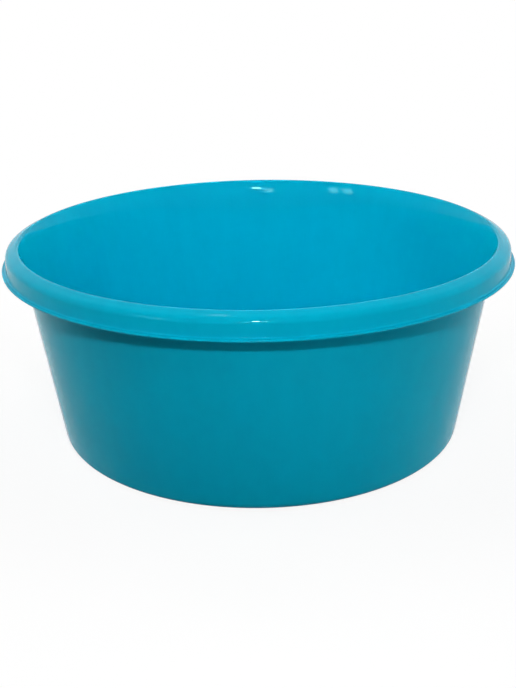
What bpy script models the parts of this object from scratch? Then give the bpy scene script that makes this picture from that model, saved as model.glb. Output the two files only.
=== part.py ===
"""Round household basin, moulded in one piece from glossy plastic.

Blender 4.5, metres, +Z up. The origin is on the basin's axis, on the ground that its foot stands on.

The basin is one skin of plastic of even thickness. It is drawn as the line through the middle of that
skin, from the centre of the floor to the edge of the lip. The line gets its fillets, the two faces of
the plastic are set off from it to both sides, and the closed outline is turned round the axis.
The ribs under the rim are flat plates of the same section, joined on with a Boolean.
"""

import math

import bmesh
import bpy
from mathutils import Matrix, Vector

# Overall sizes, outside
LIP_DIAMETER = 0.3800
HEIGHT = 0.1514
WALL = 0.0018

# Wall: it leans out from the foot, and this is what sets the width of the base
WALL_ANGLE = math.radians(9)

# Floor and foot, at the middle of the plastic
BASE_CORNER_RADIUS = 0.0055
FOOT_WIDTH = 0.0160
FOOT_RISE = 0.0018
FOOT_STEP_WIDTH = 0.0042
FOOT_STEP_RADIUS = 0.0040

# Mouth: the wall opens a little more just under the rim, and ends in a small round edge
FLARE_HEIGHT = 0.0071
FLARE_ANGLE = math.radians(22)
FLARE_RADIUS = 0.0480
MOUTH_EDGE_RADIUS = 0.0011

# Rim: a narrow level crest, a slope that steepens as it falls, a round shoulder, a skirt,
# and a thin lip that turns out again
RIM_WIDTH = 0.0120
RIM_HEIGHT = 0.0167
CREST_WIDTH = 0.0010
SLOPE_ANGLE = math.radians(20)
SLOPE_WIDTH = 0.0024
SLOPE_RADIUS = 0.0300
SHOULDER_DROP = 0.0032
SHOULDER_RADIUS = 0.0045
SKIRT_ANGLE = math.radians(3)
LIP_WIDTH = 0.0027
LIP_FILLET_RADIUS = 0.0021

# Ribs in the open channel under the rim
RIB_COUNT = 8
RIB_THICKNESS = 0.0012
RIB_INSET = 0.0023
FIRST_RIB_ANGLE = math.radians(22.5)

# Gate mark: the shallow round recess under the floor where the plastic was let in, with its stub
GATE_DIAMETER = 0.0140
GATE_BEVEL = 0.0010
GATE_DEPTH = 0.0006
STUB_DIAMETER = 0.0034
STUB_HEIGHT = 0.0004

# Facets: a flat run may leave its true arc by this much, and the turn has this many steps
ARC_DEVIATION = 0.0001
TURN_STEPS = 72
LIP_END_STEPS = 4
SMOOTH_ANGLE = math.radians(35)
AXIS_MERGE = 0.00001

# Finish
TEAL = (0.0, 0.305, 0.465, 1.0)
GLOSS_ROUGHNESS = 0.28


def clear_scene():
    for old in list(bpy.data.objects):
        bpy.data.objects.remove(old, do_unlink=True)


def floor_corners(base):
    """Corners of the raised floor, the foot round it and the turn up into the wall."""
    ground = WALL / 2
    foot_inside = base - FOOT_WIDTH
    return [
        (Vector((0, ground + FOOT_RISE)), 0),
        (Vector((foot_inside - FOOT_STEP_WIDTH, ground + FOOT_RISE)), FOOT_STEP_RADIUS),
        (Vector((foot_inside, ground)), FOOT_STEP_RADIUS),
        (Vector((base, ground)), BASE_CORNER_RADIUS),
    ]


def rim_corners(mouth):
    """Corners of the crest, the slope, the shoulder and the skirt, and the end of the lip."""
    slope = mouth + Vector((CREST_WIDTH, 0))
    steeper = slope + Vector((SLOPE_WIDTH, -SLOPE_WIDTH * math.tan(SLOPE_ANGLE)))
    lip_level = HEIGHT - RIM_HEIGHT + WALL / 2
    neck = LIP_DIAMETER / 2 - LIP_WIDTH - WALL / 2
    shoulder_level = mouth.y - SHOULDER_DROP
    shoulder = neck - (shoulder_level - lip_level) * math.tan(SKIRT_ANGLE)
    return [
        (mouth, MOUTH_EDGE_RADIUS),
        (slope, MOUTH_EDGE_RADIUS),
        (steeper, SLOPE_RADIUS),
        (Vector((shoulder, shoulder_level)), SHOULDER_RADIUS),
        (Vector((neck, lip_level)), LIP_FILLET_RADIUS),
        (Vector((LIP_DIAMETER / 2 - WALL / 2, lip_level)), 0),
    ]


def skin_corners():
    """Corners of the line through the middle of the plastic, as (radius, height), with fillet radii."""
    mouth = Vector((LIP_DIAMETER / 2 - RIM_WIDTH, HEIGHT - WALL / 2))
    flare = mouth - Vector((FLARE_HEIGHT * math.tan(FLARE_ANGLE), FLARE_HEIGHT))
    base = flare.x - (flare.y - WALL / 2) * math.tan(WALL_ANGLE)
    return floor_corners(base) + [(flare, FLARE_RADIUS)] + rim_corners(mouth)


def turn_between(before, after):
    """Signed turn from one direction to the next, positive to the left."""
    return math.atan2(before.x * after.y - before.y * after.x, before.dot(after))


def fillet_setbacks(points, radii):
    """How far from each corner its fillet starts. Two that would meet on a side are drawn in alike."""
    sides = [after - before for before, after in zip(points, points[1:])]
    wanted = [0.0]
    for before, after, radius in zip(sides, sides[1:], radii[1:-1]):
        wanted.append(radius * math.tan(abs(turn_between(before, after)) / 2))
    wanted.append(0.0)
    room = [1.0] * len(points)
    for number, side in enumerate(sides):
        needed = wanted[number] + wanted[number + 1]
        if needed > side.length:
            share = side.length / needed
            room[number] = min(room[number], share)
            room[number + 1] = min(room[number + 1], share)
    return [setback * share for setback, share in zip(wanted, room)]


def filleted_line(corners):
    """Points along the filleted line, each with the unit normal to its left."""
    points = [point for point, _ in corners]
    setbacks = fillet_setbacks(points, [radius for _, radius in corners])
    first = (points[1] - points[0]).normalized()
    last = (points[-1] - points[-2]).normalized()
    line = [(points[0], left_of(first))]
    for before, corner, after, setback in zip(points, points[1:], points[2:], setbacks[1:]):
        line += fillet_arc(corner, (corner - before).normalized(), (after - corner).normalized(), setback)
    line.append((points[-1], left_of(last)))
    return line


def left_of(direction):
    return Vector((-direction.y, direction.x))


def fillet_arc(corner, arriving, leaving, setback):
    """Points of one fillet, evenly spaced, from its first tangent point to its last."""
    turn = turn_between(arriving, leaving)
    radius = setback / math.tan(abs(turn) / 2)
    side = math.copysign(1, turn)
    centre = corner - arriving * setback + left_of(arriving) * radius * side
    longest_step = 2 * math.acos(1 - ARC_DEVIATION / radius)
    steps = max(2, math.ceil(abs(turn) / longest_step))
    arc = []
    for step in range(steps + 1):
        normal = Matrix.Rotation(turn * step / steps, 2) @ left_of(arriving)
        arc.append((centre - normal * radius * side, normal))
    return arc


def lip_end(line):
    """Half circle that closes the plastic at the edge of the lip, without its two ends."""
    centre, up = line[-1]
    outline = []
    for step in range(1, LIP_END_STEPS):
        spoke = Matrix.Rotation(-math.pi * step / LIP_END_STEPS, 2) @ up
        outline.append(centre + spoke * WALL / 2)
    return outline


def gate_mark(underside):
    """Points of the recess and its stub, from the flat underside in to the axis."""
    recess = underside + GATE_DEPTH
    return [
        Vector((GATE_DIAMETER / 2, underside)),
        Vector((GATE_DIAMETER / 2 - GATE_BEVEL, recess)),
        Vector((STUB_DIAMETER / 2, recess)),
        Vector((STUB_DIAMETER / 2, recess - STUB_HEIGHT)),
        Vector((0, recess - STUB_HEIGHT)),
    ]


def basin_section(line):
    """Outline of the plastic: out over the inside, round the lip, and back in along the outside."""
    upper = [point + normal * WALL / 2 for point, normal in line]
    lower = [point - normal * WALL / 2 for point, normal in reversed(line)]
    underside = lower.pop().y
    return upper + lip_end(line) + lower + gate_mark(underside)


def new_object(name, mesh):
    made = bpy.data.objects.new(name, mesh)
    bpy.context.scene.collection.objects.link(made)
    return made


def turned_shell(name, section):
    """Object that turns an open section in the XZ plane round the Z axis."""
    mesh = bpy.data.meshes.new(name)
    points = [(point.x, 0, point.y) for point in section]
    edges = [(number, number + 1) for number in range(len(points) - 1)]
    mesh.from_pydata(points, edges, [])
    shell = new_object(name, mesh)
    screw = shell.modifiers.new("turn", "SCREW")
    screw.axis = "Z"
    screw.angle = math.tau
    screw.steps = TURN_STEPS
    screw.render_steps = TURN_STEPS
    screw.use_merge_vertices = True
    screw.merge_threshold = AXIS_MERGE
    return shell


def crossing(before, after, level):
    """Point at the given height on the straight run between two points."""
    return before.lerp(after, (level - before.y) / (after.y - before.y))


def rib_outline(line):
    """The part of the middle line that lies above the ribs' lower edge, cut off level there."""
    level = HEIGHT - RIM_HEIGHT + RIB_INSET
    outline = []
    for (before, _), (after, _) in zip(line, line[1:]):
        if (before.y > level) != (after.y > level):
            outline.append(crossing(before, after, level))
        if after.y > level:
            outline.append(after)
    return outline


def rib_plates(name, outline):
    """All the ribs, as plates across the channel, evenly spaced round the axis."""
    mesh = bpy.data.meshes.new(name)
    plates = bmesh.new()
    for number in range(RIB_COUNT):
        rim = [plates.verts.new((point.x, -RIB_THICKNESS / 2, point.y)) for point in outline]
        side = bmesh.ops.extrude_face_region(plates, geom=[plates.faces.new(rim)])
        moved = [item for item in side["geom"] if isinstance(item, bmesh.types.BMVert)]
        bmesh.ops.translate(plates, verts=moved, vec=(0, RIB_THICKNESS, 0))
        place = Matrix.Rotation(FIRST_RIB_ANGLE + math.tau * number / RIB_COUNT, 3, "Z")
        bmesh.ops.rotate(plates, verts=rim + moved, matrix=place)
    bmesh.ops.recalc_face_normals(plates, faces=plates.faces)
    plates.to_mesh(mesh)
    plates.free()
    ribs = new_object(name, mesh)
    ribs.hide_render = True
    ribs.display_type = "WIRE"
    return ribs


def join_on(body, addition):
    union = body.modifiers.new("join", "BOOLEAN")
    union.operation = "UNION"
    union.solver = "EXACT"
    union.object = addition


def keep_result(body):
    """Turn the modifiers' result into the object's own mesh, round where it is round."""
    bpy.context.view_layer.update()
    graph = bpy.context.evaluated_depsgraph_get()
    mesh = bpy.data.meshes.new_from_object(body.evaluated_get(graph))
    body.modifiers.clear()
    body.data = mesh
    mesh.shade_smooth()
    mesh.set_sharp_from_angle(angle=SMOOTH_ANGLE)


def glossy_plastic(name):
    material = bpy.data.materials.new(name)
    material.use_nodes = True
    shader = material.node_tree.nodes["Principled BSDF"]
    shader.inputs["Base Color"].default_value = TEAL
    shader.inputs["Roughness"].default_value = GLOSS_ROUGHNESS
    shader.inputs["Metallic"].default_value = 0
    return material


def make_basin():
    line = filleted_line(skin_corners())
    basin = turned_shell("basin", basin_section(line))
    ribs = rib_plates("rib_plates", rib_outline(line))
    join_on(basin, ribs)
    keep_result(basin)
    bpy.data.objects.remove(ribs, do_unlink=True)
    basin.data.materials.clear()
    basin.data.materials.append(glossy_plastic("teal_plastic"))
    return basin


clear_scene()
make_basin()
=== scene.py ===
# %% [markdown]
# # A round plastic basin
#
# This lesson dresses one moulded basin: a bowl with a leaning wall, a rolled rim and a thin lip that
# turns out again. The real one is a single shot of polypropylene, so it is one skin of even thickness.
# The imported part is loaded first, because every size below is taken from it or measured against it.

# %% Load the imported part
import math

import bmesh
import bpy
from mathutils import Matrix, Vector


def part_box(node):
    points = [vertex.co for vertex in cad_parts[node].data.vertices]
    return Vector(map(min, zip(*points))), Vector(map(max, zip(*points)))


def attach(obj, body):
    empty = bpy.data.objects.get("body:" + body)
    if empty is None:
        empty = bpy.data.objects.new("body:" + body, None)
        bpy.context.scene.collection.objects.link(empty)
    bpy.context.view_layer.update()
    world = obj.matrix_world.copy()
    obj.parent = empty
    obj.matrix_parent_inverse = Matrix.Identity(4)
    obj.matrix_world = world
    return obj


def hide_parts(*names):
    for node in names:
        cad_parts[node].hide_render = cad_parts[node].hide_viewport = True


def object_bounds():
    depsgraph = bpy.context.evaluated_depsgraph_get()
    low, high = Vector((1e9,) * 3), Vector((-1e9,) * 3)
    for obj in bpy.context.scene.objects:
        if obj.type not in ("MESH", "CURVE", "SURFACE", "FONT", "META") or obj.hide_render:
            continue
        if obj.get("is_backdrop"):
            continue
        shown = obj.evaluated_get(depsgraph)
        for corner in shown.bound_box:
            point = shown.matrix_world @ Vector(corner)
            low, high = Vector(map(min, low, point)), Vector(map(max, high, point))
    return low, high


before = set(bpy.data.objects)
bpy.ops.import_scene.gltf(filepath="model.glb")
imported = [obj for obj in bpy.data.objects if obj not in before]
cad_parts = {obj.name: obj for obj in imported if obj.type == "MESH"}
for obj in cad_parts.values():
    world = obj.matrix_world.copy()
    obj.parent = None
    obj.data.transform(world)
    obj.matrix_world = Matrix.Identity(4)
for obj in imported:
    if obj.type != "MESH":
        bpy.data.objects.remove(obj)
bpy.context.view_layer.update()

basin_low, basin_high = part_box("basin")
lip_radius = (basin_high.x - basin_low.x) / 2
height = basin_high.z
print(f"lip radius {lip_radius * 1000:.1f} mm, height {height * 1000:.1f} mm")

# %% [markdown]
# ## The line through the middle of the skin
#
# A basin could be modelled as an outer cup with an inner cup cut out of it, but then the rim is hard to
# keep even. A moulder draws one line through the middle of the plastic instead, from the centre of the
# floor to the edge of the lip, and gives it its thickness afterwards. Only the corners are written down,
# each with the radius of its fillet. The line starts on the floor, which is raised a little, so that
# the basin stands on a flat ring and doesn't rock.

# %% Corners of the floor and the foot
skin = 0.0018
wall_lean = math.radians(9)
foot_width = 0.0160
floor_rise = 0.0018
foot_step = 0.0042
foot_step_fillet = 0.0040
base_fillet = 0.0055


def floor_corners(base_radius):
    """Raised floor, step down to the flat foot, and the turn up into the wall."""
    foot_inside = base_radius - foot_width
    return [
        (Vector((0, skin / 2 + floor_rise)), 0),
        (Vector((foot_inside - foot_step, skin / 2 + floor_rise)), foot_step_fillet),
        (Vector((foot_inside, skin / 2)), foot_step_fillet),
        (Vector((base_radius, skin / 2)), base_fillet),
    ]


print(f"skin {skin * 1000:.1f} mm, wall leans out {math.degrees(wall_lean):.0f} degrees")

# %% [markdown]
# ## The rolled rim
#
# The rim is what makes such a thin bowl stiff enough to carry water. At the mouth the wall flares, rolls
# over a narrow level crest, slopes away with a growing fall to a rounded shoulder, drops as a skirt and
# ends in a lip that turns out again. It could be made as a ring of its own and joined on, but then there
# would be a seam that a moulding doesn't have. Here it is only the end of the same line, worked out from
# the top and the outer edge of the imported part, so that it can't grow past the real size.

# %% Corners of the mouth and the rim
rim_width = 0.0120
rim_height = 0.0167
flare_height = 0.0071
flare_angle = math.radians(22)
flare_fillet = 0.0480
crest_width = 0.0010
crest_fillet = 0.0011
slope_width = 0.0024
slope_angle = math.radians(20)
slope_fillet = 0.0300
shoulder_drop = 0.0032
shoulder_fillet = 0.0045
skirt_angle = math.radians(3)
lip_width = 0.0027
lip_fillet = 0.0021

mouth = Vector((lip_radius - rim_width, height - skin / 2))
flare = mouth - Vector((flare_height * math.tan(flare_angle), flare_height))
base_radius = flare.x - (flare.y - skin / 2) * math.tan(wall_lean)
lip_level = height - rim_height + skin / 2


def rim_corners():
    """Level crest, slope that steepens, shoulder, skirt, and the lip that turns out again."""
    slope = mouth + Vector((crest_width, 0))
    steeper = slope + Vector((slope_width, -slope_width * math.tan(slope_angle)))
    neck = lip_radius - lip_width - skin / 2
    shoulder_level = mouth.y - shoulder_drop
    shoulder = neck - (shoulder_level - lip_level) * math.tan(skirt_angle)
    return [
        (mouth, crest_fillet),
        (slope, crest_fillet),
        (steeper, slope_fillet),
        (Vector((shoulder, shoulder_level)), shoulder_fillet),
        (Vector((neck, lip_level)), lip_fillet),
        (Vector((lip_radius - skin / 2, lip_level)), 0),
    ]


skin_corners = floor_corners(base_radius) + [(flare, flare_fillet)] + rim_corners()
print(f"{len(skin_corners)} corners, base radius {base_radius * 1000:.1f} mm")

# %% [markdown]
# ## Fillets
#
# The corners could be rounded later, with a Bevel modifier, but that doesn't know that the inner and the
# outer round of a skin differ by its thickness. So the middle line is rounded, and a corner and a radius
# are enough: the arc that touches both sides starts a set-back before the corner, and its centre lies one
# radius beside the line. Each point keeps the direction square to the line, for the thickness.

# %% Round one corner
arc_step = math.radians(5)
fewest_arc_steps = 3


def left_of(direction):
    """The direction a quarter turn to the left."""
    return Vector((-direction.y, direction.x))


def turn_between(before, after):
    """Angle from one direction to the next, positive to the left."""
    return math.atan2(before.x * after.y - before.y * after.x, before.dot(after))


def fillet(before, corner, after, radius):
    """Points of one rounded corner, each with the direction square to the line on its left."""
    arriving = (corner - before).normalized()
    leaving = (after - corner).normalized()
    turn = turn_between(arriving, leaving)
    side = math.copysign(1, turn)
    setback = radius * math.tan(abs(turn) / 2)
    centre = corner - arriving * setback + left_of(arriving) * radius * side
    steps = max(fewest_arc_steps, math.ceil(abs(turn) / arc_step))
    for step in range(steps + 1):
        normal = Matrix.Rotation(turn * step / steps, 2) @ left_of(arriving)
        yield centre - normal * radius * side, normal


print(f"an arc has a step for each {math.degrees(arc_step):.0f} degrees, and {fewest_arc_steps} at least")

# %% [markdown]
# ## Even steps
#
# A straight wall needs only two points, but long runs are divided all the same. Smooth shading blends the
# directions of neighbouring faces, and a short face beside a long one would smear its tilt over the whole
# wall. With even steps the blend stays where the curve is, and reflections run straight down the wall as
# they do on the real one.

# %% The whole middle line
longest_run = 0.0045


def rounded_line(corners):
    """The whole line with its fillets: a list of points and their normals."""
    points = [point for point, _ in corners]
    line = [(points[0], Vector((0, 1)))]
    for before, (corner, radius), after in zip(points, corners[1:], points[2:]):
        line += fillet(before, corner, after, radius)
    line.append((points[-1], Vector((0, 1))))
    return line


def evenly_run(line):
    """The same line, with its long straight runs divided into short ones."""
    divided = [line[0]]
    for (start, normal), (end, end_normal) in zip(line, line[1:]):
        pieces = max(1, math.ceil((end - start).length / longest_run))
        for piece in range(1, pieces):
            share = piece / pieces
            divided.append((start.lerp(end, share), normal.lerp(end_normal, share).normalized()))
        divided.append((end, end_normal))
    return divided


middle_line = evenly_run(rounded_line(skin_corners))
print(f"{len(middle_line)} points on the middle line")

# %% [markdown]
# ## Both faces of the plastic
#
# The inside face lies half a skin to the left of the line and the outside face half a skin to its right.
# A Solidify modifier could give the same thickness, but it ends the lip square, and it has no place for
# the gate mark. The lip ends in a half circle instead, as a mould's parting edge is polished round. The
# gate mark, under the middle of the floor, is the shallow recess where the plastic was let in, with the
# stub of the sprue. The flat underside stops where that recess begins.

# %% Close the section
gate_radius = 0.0070
gate_bevel = 0.0010
gate_depth = 0.0006
stub_radius = 0.0017
stub_height = 0.0004
lip_end_steps = 12


def lip_end():
    """Half circle from the inside face round to the outside face."""
    centre, up = middle_line[-1]
    for step in range(1, lip_end_steps):
        yield centre + Matrix.Rotation(-math.pi * step / lip_end_steps, 2) @ up * skin / 2


def gate_mark(underside):
    """Edge of the recess, its bottom, and the stub, from the outside in to the axis."""
    recess = underside + gate_depth
    return [
        Vector((gate_radius, underside)),
        Vector((gate_radius - gate_bevel, recess)),
        Vector((stub_radius, recess)),
        Vector((stub_radius, recess - stub_height)),
        Vector((0, recess - stub_height)),
    ]


inside_face = [point + normal * skin / 2 for point, normal in middle_line]
outside_face = [point - normal * skin / 2 for point, normal in reversed(middle_line)]
underside = outside_face[-1].y
outside_face = [point for point in outside_face if point.x > gate_radius]
section = inside_face + list(lip_end()) + outside_face + gate_mark(underside)
print(f"section of {len(section)} points")

# %% [markdown]
# ## Turn the section
#
# A turned thing can be spun in mesh code, or by a Screw modifier, which turns the section once round the
# upright axis and also merges the two ends. It could stay live, but the ribs have to grow out of this
# skin, so it is kept as a real mesh straight away.

# %% Turn the shell
turn_steps = 256
merge_distance = 0.000005


def new_piece(name, data):
    """Puts a mesh, a lamp or a camera into the scene."""
    piece = bpy.data.objects.new(name, data)
    bpy.context.scene.collection.objects.link(piece)
    return piece


def keep_as_mesh(piece):
    """Replaces the mesh by what its modifiers make of it."""
    graph = bpy.context.evaluated_depsgraph_get()
    mesh = bpy.data.meshes.new_from_object(piece.evaluated_get(graph))
    piece.modifiers.clear()
    piece.data = mesh


def turned_shell(name):
    """The section turned once round the axis."""
    mesh = bpy.data.meshes.new(name)
    edges = [(number, number + 1) for number in range(len(section) - 1)]
    mesh.from_pydata([(point.x, 0, point.y) for point in section], edges, [])
    shell = new_piece(name, mesh)
    screw = shell.modifiers.new("turn", "SCREW")
    screw.steps = screw.render_steps = turn_steps
    screw.use_merge_vertices = True
    screw.merge_threshold = merge_distance
    keep_as_mesh(shell)
    return shell


basin = turned_shell("basin_moulding")
print(f"turned shell: {len(basin.data.polygons)} faces")

# %% [markdown]
# ## Ribs in the channel under the rim
#
# The rolled rim is open below. Eight thin plates bridge its channel, so that the rim doesn't fold when
# the full basin is lifted. Plain boxes would be quicker, but they would leave gaps in a round channel or
# stick out of it. Each plate follows the middle line over the channel instead, so its edges end inside
# the plastic, and the two long edges of its free lower side are slightly rounded.

# %% Make one rib
rib_thickness = 0.0012
rib_inset = 0.0023
rib_bevel = 0.0003
rib_bevel_steps = 3


def rib_outline():
    """The middle line above the ribs' lower edge, cut off level there."""
    level = height - rim_height + rib_inset
    outline = []
    for (before, _), (after, _) in zip(middle_line, middle_line[1:]):
        if (before.y > level) != (after.y > level):
            outline.append(before.lerp(after, (level - before.y) / (after.y - before.y)))
        if after.y > level:
            outline.append(after)
    return outline


def rib_plate():
    """One rib as a mesh, standing across the channel on the +X side."""
    rib = bmesh.new()
    corners = [rib.verts.new((point.x, -rib_thickness / 2, point.y)) for point in rib_outline()]
    grown = bmesh.ops.extrude_face_region(rib, geom=[rib.faces.new(corners)], use_keep_orig=True)
    far_side = [item for item in grown["geom"] if isinstance(item, bmesh.types.BMVert)]
    bmesh.ops.translate(rib, verts=far_side, vec=(0, rib_thickness, 0))
    bmesh.ops.recalc_face_normals(rib, faces=rib.faces)
    lower_side = min(rib.faces, key=lambda face: face.normal.z)
    long_edges = [edge for edge in lower_side.edges if edge.calc_length() > 2 * rib_thickness]
    bmesh.ops.bevel(rib, geom=long_edges, offset=rib_bevel, segments=rib_bevel_steps, profile=0.5,
                    affect="EDGES")
    mesh = bpy.data.meshes.new("rib")
    rib.to_mesh(mesh)
    rib.free()
    return mesh


rib_mesh = rib_plate()
print(f"one rib: {len(rib_mesh.polygons)} faces")

# %% [markdown]
# ## One moulding
#
# The ribs and the shell are the same plastic. Pushed into each other they would look joined, but there
# would still be walls inside the skin, so a Boolean union makes them one closed body. Smooth shading then
# rounds the facets, while edges sharper than a set angle, such as the feet of the ribs and the gate mark,
# stay crisp.

# %% Join the ribs to the shell
rib_count = 8
first_rib = math.radians(22.5)
smooth_angle = math.radians(38)


def ring_of_ribs():
    """All the ribs as one piece, evenly round the axis."""
    ring = bmesh.new()
    for number in range(rib_count):
        copy = rib_mesh.copy()
        copy.transform(Matrix.Rotation(first_rib + math.tau * number / rib_count, 4, "Z"))
        ring.from_mesh(copy)
        bpy.data.meshes.remove(copy)
    mesh = bpy.data.meshes.new("ribs")
    ring.to_mesh(mesh)
    ring.free()
    return new_piece("ribs", mesh)


def join_on(piece, added):
    """Makes both pieces one body."""
    union = piece.modifiers.new("ribs", "BOOLEAN")
    union.operation = "UNION"
    union.object = added
    keep_as_mesh(piece)
    bpy.data.objects.remove(added)


join_on(basin, ring_of_ribs())
basin.data.shade_smooth()
basin.data.set_sharp_from_angle(angle=smooth_angle)
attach(basin, "root")
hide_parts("basin")
print(f"basin with {rib_count} ribs: {len(basin.data.polygons)} faces")

# %% [markdown]
# ## Turquoise polypropylene
#
# The colour goes all through the plastic, so there is no paint to chip. What keeps it from looking like
# a flat colour is small: the pigment is mixed a little unevenly, faint flow marks fan out from the gate
# in the middle of the floor, and the gloss changes where the mould was polished or the foot has rubbed.
# Pictures of plastic could be laid over the mesh for this, but they show seams and blur close up. Nodes
# that work on the piece's own coordinates do neither, and stay with it from every side. Nodes are much
# easier to read as sums, so the first helpers write them that way.

# %% Helpers for sums
def join(tree, value, socket):
    """Links a socket, or sets a number or a colour."""
    if isinstance(value, bpy.types.NodeSocket):
        tree.links.new(value, socket)
    elif value is not None:
        socket.default_value = value


def combine(tree, operation, first, second, third=None):
    """Math node on sockets or numbers; gives its output."""
    node = tree.nodes.new("ShaderNodeMath")
    node.operation = operation
    for socket, value in zip(node.inputs, (first, second, third)):
        join(tree, value, socket)
    return node.outputs["Value"]


def move(tree, operation, first, second=None, third=None):
    """Vector Math node on sockets or vectors; gives its output."""
    node = tree.nodes.new("ShaderNodeVectorMath")
    node.operation = operation
    for socket, value in zip(node.inputs, (first, second, third)):
        join(tree, value, socket)
    return node.outputs["Value" if operation == "LENGTH" else "Vector"]


print("helpers for sums: join, combine, move")

# %% [markdown]
# ## Patterns
#
# Clouds of pigment, patches of wear and the grain of the steel are all uneven in the same way, at very
# different sizes, so one noise texture makes them all. A smooth step turns its greys into areas with soft
# edges. A straight ramp could do that too, but it starts and stops suddenly, and gloss shows that as a
# line. The coordinates are in metres, so noise of scale 100 has patches of about a centimetre.

# %% Helpers for patterns
def eased(tree, value, low, high, start, end):
    """Smooth change from start to end as the value goes from low to high."""
    node = tree.nodes.new("ShaderNodeMapRange")
    node.interpolation_type = "SMOOTHSTEP"
    join(tree, value, node.inputs["Value"])
    for name, number in (("From Min", low), ("From Max", high), ("To Min", start), ("To Max", end)):
        node.inputs[name].default_value = number
    return node.outputs["Result"]


def noise(tree, vector, scale, detail=2.0, roughness=0.5):
    """Noise texture; gives its grey, from 0 to 1."""
    node = tree.nodes.new("ShaderNodeTexNoise")
    node.inputs["Scale"].default_value = scale
    node.inputs["Detail"].default_value = detail
    node.inputs["Roughness"].default_value = roughness
    join(tree, vector, node.inputs["Vector"])
    return node.outputs["Fac"]


def place_on_piece(tree):
    """The piece's own coordinates, in metres."""
    return tree.nodes.new("ShaderNodeTexCoord").outputs["Object"]


print("helpers for patterns: eased, noise, place_on_piece")

# %% [markdown]
# ## Pigment and flow marks
#
# The flow marks need a pattern that depends on the direction from the axis and hardly on the distance.
# An angle would jump where the full turn closes. The direction itself, as a vector of length one, has no
# such seam: it is the place with its height taken away, divided by its own length. Broad clouds and fine
# swirls of pigment are added to it, and the sum chooses between two close shades.

# %% Shade of the pigment
deep_teal = (0.0, 0.345, 0.505, 1)
light_teal = (0.0, 0.371, 0.539, 1)
deep_up_to = 0.38
light_from = 0.62
cloud_scale = 9
cloud_share = 0.40
swirl_scale = 95
swirl_share = 0.25
streak_scale = 11
streak_drift = (1.5, 1.5, 2.5)
streak_share = 0.35


def flow_marks(tree, place):
    """Streaks that fan out from the gate, from 0 to 1."""
    level = move(tree, "MULTIPLY", place, (1, 1, 0))
    outward = move(tree, "NORMALIZE", level)
    drifting = move(tree, "MULTIPLY_ADD", place, streak_drift, outward)
    return noise(tree, drifting, streak_scale, detail=5, roughness=0.62)


def pigment(tree, place):
    """Share of the lighter shade, from 0 to 1: broad clouds, fine swirls and flow marks together."""
    clouds = combine(tree, "MULTIPLY", noise(tree, place, cloud_scale), cloud_share)
    swirls = noise(tree, place, swirl_scale, detail=4, roughness=0.6)
    mixed = combine(tree, "MULTIPLY_ADD", swirls, swirl_share, clouds)
    return combine(tree, "MULTIPLY_ADD", flow_marks(tree, place), streak_share, mixed)


def shade(tree, share):
    """Colour between the two shades."""
    ramp = tree.nodes.new("ShaderNodeValToRGB")
    deep, light = ramp.color_ramp.elements
    deep.position, deep.color = deep_up_to, deep_teal
    light.position, light.color = light_from, light_teal
    join(tree, share, ramp.inputs["Fac"])
    return ramp.outputs["Color"]


print(f"pigment between {deep_teal[:3]} and {light_teal[:3]}")

# %% [markdown]
# ## Rubbed foot
#
# The flat ring slides on worktops and gets dull and a little paler there. Such wear could be painted on
# the mesh by hand, but its place is set by height alone: it is strongest on the ring itself and fades out
# within three millimetres above it. Noise breaks it up into patches, because no worktop is quite flat.

# %% Rub on the foot
rubbed_teal = (0.060, 0.400, 0.540, 1)
rub_colour_share = 0.5
rub_dulling = 0.30
full_rub_height = 0.0002
rub_height = 0.0030
patch_scale = 60
patch_low = 0.35
patch_high = 0.60
least_rub = 0.35


def foot_rub(tree, place):
    """1 on the flat of the foot and 0 from the rub height up."""
    split = tree.nodes.new("ShaderNodeSeparateXYZ")
    join(tree, place, split.inputs["Vector"])
    worn = eased(tree, split.outputs["Z"], full_rub_height, rub_height, 1, 0)
    spots = noise(tree, place, patch_scale, detail=4)
    patches = eased(tree, spots, patch_low, patch_high, least_rub, 1)
    return combine(tree, "MULTIPLY", worn, patches)


def socket_called(sockets, identifier):
    """A Mix node has a set of sockets of the same names for each data type, so they are told apart."""
    return next(socket for socket in sockets if socket.identifier == identifier)


def paler_where_rubbed(tree, colour, rub):
    """The colour, mixed with the paler one by the share of the rub."""
    blend = tree.nodes.new("ShaderNodeMix")
    blend.data_type = "RGBA"
    share = combine(tree, "MULTIPLY", rub, rub_colour_share)
    join(tree, share, socket_called(blend.inputs, "Factor_Float"))
    join(tree, colour, socket_called(blend.inputs, "A_Color"))
    join(tree, rubbed_teal, socket_called(blend.inputs, "B_Color"))
    return socket_called(blend.outputs, "Result_Color")


print(f"the foot is rubbed up to {rub_height * 1000:.0f} mm")

# %% [markdown]
# ## Gloss and surface
#
# Polypropylene comes out of a polished mould with a soft gloss that wanders a little. Thick and thin
# places cool at different speeds, which leaves long shallow waves, and the steel leaves a grain too fine
# to see by itself. The waves bend reflections slightly, and that is what makes the skin look moulded. The
# mesh could carry them, but they are so shallow that only reflections show them, so bump does it with far
# fewer faces.

# %% Gloss and ripple
glossiest = 0.035
dullest = 0.070
polish_scale = 22
polish_low = 0.3
polish_high = 0.7
wave_scale = 24
wave_depth = 0.0004
wave_strength = 0.20
grain_scale = 1100
grain_depth = 0.00004
grain_strength = 0.04


def gloss(tree, place, rub):
    """Roughness: the wandering polish of the mould, and the rub on top of it."""
    patches = noise(tree, place, polish_scale, detail=3)
    polish = eased(tree, patches, polish_low, polish_high, glossiest, dullest)
    return combine(tree, "MULTIPLY_ADD", rub, rub_dulling, polish)


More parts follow.
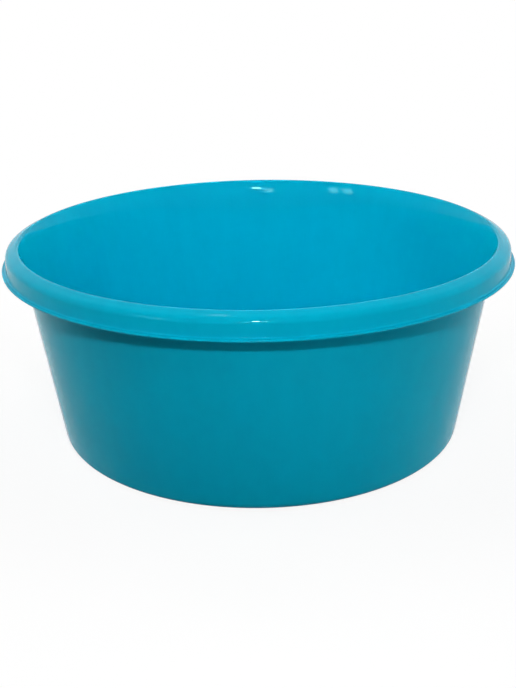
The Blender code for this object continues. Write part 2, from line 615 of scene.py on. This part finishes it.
def bump(tree, height_map, depth, strength, below=None):
    """Bump node, which can lie on top of another one."""
    node = tree.nodes.new("ShaderNodeBump")
    node.inputs["Strength"].default_value = strength
    node.inputs["Distance"].default_value = depth
    join(tree, height_map, node.inputs["Height"])
    join(tree, below, node.inputs["Normal"])
    return node.outputs["Normal"]


def surface_ripple(tree, place):
    """Long soft waves of the cooled plastic, with the fine grain of the mould on them."""
    waves = bump(tree, noise(tree, place, wave_scale, detail=1), wave_depth, wave_strength)
    return bump(tree, noise(tree, place, grain_scale), grain_depth, grain_strength, waves)


print(f"roughness from {glossiest} to {dullest}, {rub_dulling} more where the foot is rubbed")

# %% [markdown]
# ## The plastic itself
#
# One Principled shader takes all of it. The refraction index is that of polypropylene. At its full
# strength the mirror of such a skin would wash the colour out in white surroundings, also where one looks
# straight at it, and the real basin is a clean turquoise there. The specular level is therefore low: the
# skin keeps its colour from the front and turns pale only at a glancing angle, at the sides of the wall
# and along the rim. What mirror is left is tinted, because the turquoise swallows nearly all red.

# %% Turquoise plastic
refraction_index = 1.49
gloss_level = 0.055
gloss_tint = (0.3, 1.0, 1.0, 1)


def turquoise_plastic():
    """The finished material of the basin."""
    material = bpy.data.materials.new("turquoise_polypropylene")
    material.use_nodes = True
    tree = material.node_tree
    shader = tree.nodes["Principled BSDF"]
    place = place_on_piece(tree)
    rub = foot_rub(tree, place)
    colour = shade(tree, pigment(tree, place))
    join(tree, paler_where_rubbed(tree, colour, rub), shader.inputs["Base Color"])
    join(tree, gloss(tree, place, rub), shader.inputs["Roughness"])
    join(tree, surface_ripple(tree, place), shader.inputs["Normal"])
    shader.inputs["IOR"].default_value = refraction_index
    shader.inputs["Specular IOR Level"].default_value = gloss_level
    shader.inputs["Specular Tint"].default_value = gloss_tint
    return material


basin.data.materials.clear()
basin.data.materials.append(turquoise_plastic())
print(f"turquoise plastic: {len(basin.data.materials[0].node_tree.nodes)} nodes")

# %% [markdown]
# ## White to look at
#
# A product picture has a pure white ground. Brighter lamps could make it white, but they would wash out
# the basin. Blender tells what each ray is for, though: one that the camera or a mirror sends only looks,
# and a scattered one brings light. So things can look white and still give the basin little light. These
# helpers sort the rays.

# %% Sort the rays
def light_path(tree):
    """What the ray is for, as one socket for each kind."""
    return tree.nodes.new("ShaderNodeLightPath").outputs


def mirrored(tree):
    """1 for what is seen in gloss or through glass."""
    path = light_path(tree)
    return combine(tree, "MAXIMUM", path["Is Glossy Ray"], path["Is Transmission Ray"])


def shown(tree):
    """1 for what is seen, straight or mirrored, and 0 for scattered light."""
    return combine(tree, "MAXIMUM", light_path(tree)["Is Camera Ray"], mirrored(tree))


def blend_shaders(tree, share, first, second):
    """The first shader at a share of 0 and the second at 1."""
    blend = tree.nodes.new("ShaderNodeMixShader")
    join(tree, share, blend.inputs["Fac"])
    join(tree, first, blend.inputs[1])
    join(tree, second, blend.inputs[2])
    return blend.outputs["Shader"]


print("helpers for rays: light_path, mirrored, shown, blend_shaders")

# %% [markdown]
# ## White table
#
# The basin stands on a wide table, which looks white. One that looked white all over would leave the
# basin floating, so near the basin it also takes a little real light, with the shadow that ties the
# object to the ground. Reflections see the same table with more of that real light, as a glossy thing on
# white paper mirrors the paper that it shades. The light that the table scatters back is held low,
# because it would light up the wall from below.

# %% Table
table_size = 12.0
table_drop = 0.0002
paper = (0.9, 0.9, 0.9, 1)
paper_for_scattered_light = (0.35, 0.35, 0.35, 1)
shadow_share_seen = 0.12
shadow_share_mirrored = 1.0
shadow_starts_to_fade = 0.20
shadow_gone = 0.55
mirrored_shadow_gone = 3.0


def diffuse(tree, colour):
    """Matt shader of one colour."""
    node = tree.nodes.new("ShaderNodeBsdfDiffuse")
    node.inputs["Color"].default_value = colour
    return node.outputs["BSDF"]


def real_light_share(tree):
    """How much real light and shadow the table shows, by the distance from the basin."""
    distance = move(tree, "LENGTH", place_on_piece(tree))
    seen = eased(tree, distance, shadow_starts_to_fade, shadow_gone, shadow_share_seen, 0)
    in_gloss = eased(tree, distance, shadow_starts_to_fade, mirrored_shadow_gone, shadow_share_mirrored, 0)
    return combine(tree, "MAXIMUM", seen, combine(tree, "MULTIPLY", in_gloss, mirrored(tree)))


def white_table():
    """White where it is only looked at, paper where it takes and gives light."""
    material = bpy.data.materials.new("white_table")
    material.use_nodes = True
    tree = material.node_tree
    tree.nodes.remove(tree.nodes["Principled BSDF"])
    white = tree.nodes.new("ShaderNodeEmission").outputs["Emission"]
    surface = blend_shaders(tree, real_light_share(tree), white, diffuse(tree, paper))
    whole = blend_shaders(tree, shown(tree), diffuse(tree, paper_for_scattered_light), surface)
    join(tree, whole, tree.nodes["Material Output"].inputs["Surface"])
    return material


def make_table():
    """One flat square, a hair below the foot."""
    mesh = bpy.data.meshes.new("table")
    half = table_size / 2
    corners = [(-half, -half, 0), (half, -half, 0), (half, half, 0), (-half, half, 0)]
    mesh.from_pydata(corners, [], [(0, 1, 2, 3)])
    table = new_piece("table", mesh)
    table.location.z = -table_drop
    mesh.materials.append(white_table())
    table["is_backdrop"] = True


make_table()
print(f"table {table_size:.0f} m wide, {table_drop * 1000:.1f} mm under the foot")

# %% [markdown]
# ## White surroundings
#
# The world follows the same rule: pure white to the camera and in reflections, and only a weak, slightly
# cool fill to scattered light. A picture of a studio could light the basin too, but with lamps the
# shading of each side can be set by itself.

# %% World
world_white = (1, 1, 1, 1)
room_colour = (0.9, 0.95, 1.0, 1)
room_strength = 0.02


def background(tree, colour, strength):
    """Even light of one colour from all round."""
    node = tree.nodes.new("ShaderNodeBackground")
    node.inputs["Color"].default_value = colour
    node.inputs["Strength"].default_value = strength
    return node.outputs["Background"]


def white_world():
    """The weak fill for scattered light, and white for the rest."""
    world = bpy.data.worlds.new("studio")
    world.use_nodes = True
    tree = world.node_tree
    tree.nodes.remove(tree.nodes["Background"])
    room = background(tree, room_colour, room_strength)
    both = blend_shaders(tree, shown(tree), room, background(tree, world_white, 1))
    join(tree, both, tree.nodes["World Output"].inputs["Surface"])
    return world


bpy.context.scene.world = white_world()
print(f"the world gives {room_strength} of white to scattered light")

# %% [markdown]
# ## Soft light
#
# Lamps are placed by their direction from the basin: a turn from the front to the right, and a rise
# above level, both in degrees. Wide panels behind and beside the basin light the rim and the inside, and
# two low ones, at the right and at the front right, reach the wall under the lip. They are kept out of
# reflections, because on such a glossy rim a wide panel would show as a broad band.

# %% Soft panels
middle = Vector((0, 0, height / 2))
soft_distance = 1.8
soft_size = (0.9, 0.9)


def toward(turn, rise, distance):
    """Place at a turn from the front to the right and a rise above level, in degrees."""
    turn, rise = math.radians(turn), math.radians(rise)
    level = Vector((math.sin(turn), -math.cos(turn), 0))
    return middle + (level * math.cos(rise) + Vector((0, 0, math.sin(rise)))) * distance


def panel(name, place, aim, size, watts):
    """Rectangular lamp at a place, turned to what it lights."""
    lamp = bpy.data.lights.new(name, "AREA")
    lamp.shape = "RECTANGLE"
    lamp.size, lamp.size_y = size
    lamp.energy = watts
    holder = new_piece(name, lamp)
    holder.location = place
    holder.rotation_euler = (aim - place).to_track_quat("-Z", "Y").to_euler()
    holder.visible_camera = False
    return holder


def soft_panel(name, turn, rise, watts, size=soft_size):
    """Lamp that shades the form and shows in no reflection."""
    holder = panel(name, toward(turn, rise, soft_distance), middle, size, watts)
    holder.visible_glossy = False
    return holder


for name, turn, rise, watts in (
    ("behind_left", 225, 35, 5.7),
    ("behind_right", 135, 35, 7.3),
    ("behind_above", 180, 60, 5.0),
    ("left", 270, 35, 12.3),
    ("right", 90, 35, 6.9),
    ("low_right", 90, 10, 4.1),
    ("low_front", 45, 10, 3.5),
):
    soft_panel(name, turn, rise, watts)
print(f"soft panels of {soft_size[0]} m, {soft_distance} m away")

# %% [markdown]
# ## Light on the sides of the wall
#
# The lip shades the wall below it all round, also at the far left and right, where the real basin is
# bright right up to the lip. Two smaller lamps stand low behind it, one at each side. From there their
# light only brushes the sides of the wall, and it is slightly warm, as the sides are greener than the
# front.

# %% Side lamps
side_lamp_rise = 7
side_lamp_size = (0.35, 0.35)
side_lamp_colour = (1.0, 1.0, 0.8)

for name, turn, watts in (("side_left", 242, 9.4), ("side_right", 112, 6.3)):
    side_lamp = soft_panel(name, turn, side_lamp_rise, watts, side_lamp_size)
    side_lamp.data.color = side_lamp_colour
print(f"side lamps {side_lamp_rise} degrees above level")

# %% [markdown]
# ## Light into the bowl
#
# The panels leave the far inner wall a little dark. More light from the front would brighten the wall
# outside as well, so a small lamp high above the camera shines into the bowl through a narrow cone.

# %% Bowl lamp
bowl_lamp_place = Vector((0, -0.62, 1.05))
bowl_lamp_aim = Vector((0, 0.16, 0.08))
bowl_lamp_size = (0.25, 0.25)
bowl_lamp_cone = math.radians(24)
bowl_lamp_watts = 0.20

bowl_lamp = panel("bowl", bowl_lamp_place, bowl_lamp_aim, bowl_lamp_size, bowl_lamp_watts)
bowl_lamp.data.spread = bowl_lamp_cone
bowl_lamp.visible_glossy = False
print(f"bowl lamp {bowl_lamp_place.z} m up")

# %% [markdown]
# ## Flash and window panes
#
# One small lamp stands just above the camera, as a flash does. It throws the hard, narrow shadow of the
# lip on the wall. Glossy plastic also shows the shapes of small bright things around it: the flash as
# bright spots on the rim, two panes of a window at the left, a pale thing behind the camera and a light
# on the ceiling. The mirror of this skin is weak, so these need strong lamps, and strong lamps would
# light the whole basin. They are therefore lamps that only reflections see, a little red, to make up for
# the red that the tinted mirror takes out. The one for the flash is also narrower than the flash, which
# keeps the glint on the rim short.

# %% Small bright lights
flash_place = Vector((-0.002, -0.630, 0.455))
flash_size = (0.056, 0.040)
flash_watts = 2.1
glint_size = (0.034, 0.040)
pane_distance = 5.0
mirrored_colour = (1.0, 0.8, 0.8)

panel("flash", flash_place, middle, flash_size, flash_watts)

for name, place, size, watts in (
    ("flash_glint", flash_place, glint_size, 6),
    ("near_pane", toward(-43.5, 20, pane_distance), (0.44, 0.88), 62),
    ("far_pane", toward(-51.5, 20, pane_distance), (0.50, 0.88), 52),
    ("behind_camera", toward(-6.5, 17.5, pane_distance), (0.37, 0.80), 48),
    ("ceiling", toward(-153, 73, pane_distance), (0.38, 0.35), 9),
):
    mirrored_lamp = panel(name, place, middle, size, watts)
    mirrored_lamp.data.color = mirrored_colour
    mirrored_lamp.visible_diffuse = False

# %% [markdown]
# ## Camera
#
# The camera could be placed by hand in the view, but numbers for its rise, its distance and its roll keep
# it where the photograph was taken: it looks down on the mouth by about 21 degrees, from 0.84 m away, and
# is turned by one degree about its own axis. Its lens is worked out from the photograph's frame, 688
# pixels high. Blender lays the sensor's width along the longer side of a picture, which is the height
# here.

# %% Set the camera
frame_height_px = 688
focal_px = 1066.56
sensor_long_side = 36
camera_distance = 0.836
camera_rise = math.radians(21.173)
camera_roll = math.radians(-0.9965)
camera_target = Vector((-0.001247, 0, 0.060613))


def make_camera():
    """Camera aimed at its target, then rolled."""
    data = bpy.data.cameras.new("camera")
    data.sensor_width = sensor_long_side
    data.lens = focal_px / frame_height_px * sensor_long_side
    camera = new_piece("camera", data)
    back = Vector((0, -math.cos(camera_rise), math.sin(camera_rise)))
    camera.location = camera_target + back * camera_distance
    level = (-back).to_track_quat("-Z", "Y").to_matrix()
    camera.rotation_euler = (level @ Matrix.Rotation(camera_roll, 3, "Z")).to_euler()
    return camera


camera = make_camera()
bpy.context.scene.camera = camera
bpy.context.scene.view_settings.view_transform = "Standard"
print(f"lens {camera.data.lens:.1f} mm, camera at {tuple(round(x, 3) for x in camera.location)}")

# %% [markdown]
# ## Sizes
#
# The dressed basin must not be bigger than the imported part. Its box is measured here, and its width
# and height are printed.

# %% Measure the dressed basin
shown_low, shown_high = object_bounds()
shown_width = shown_high.x - shown_low.x
print(f"dressed basin {shown_width * 1000:.1f} mm wide and {shown_high.z * 1000:.1f} mm high")
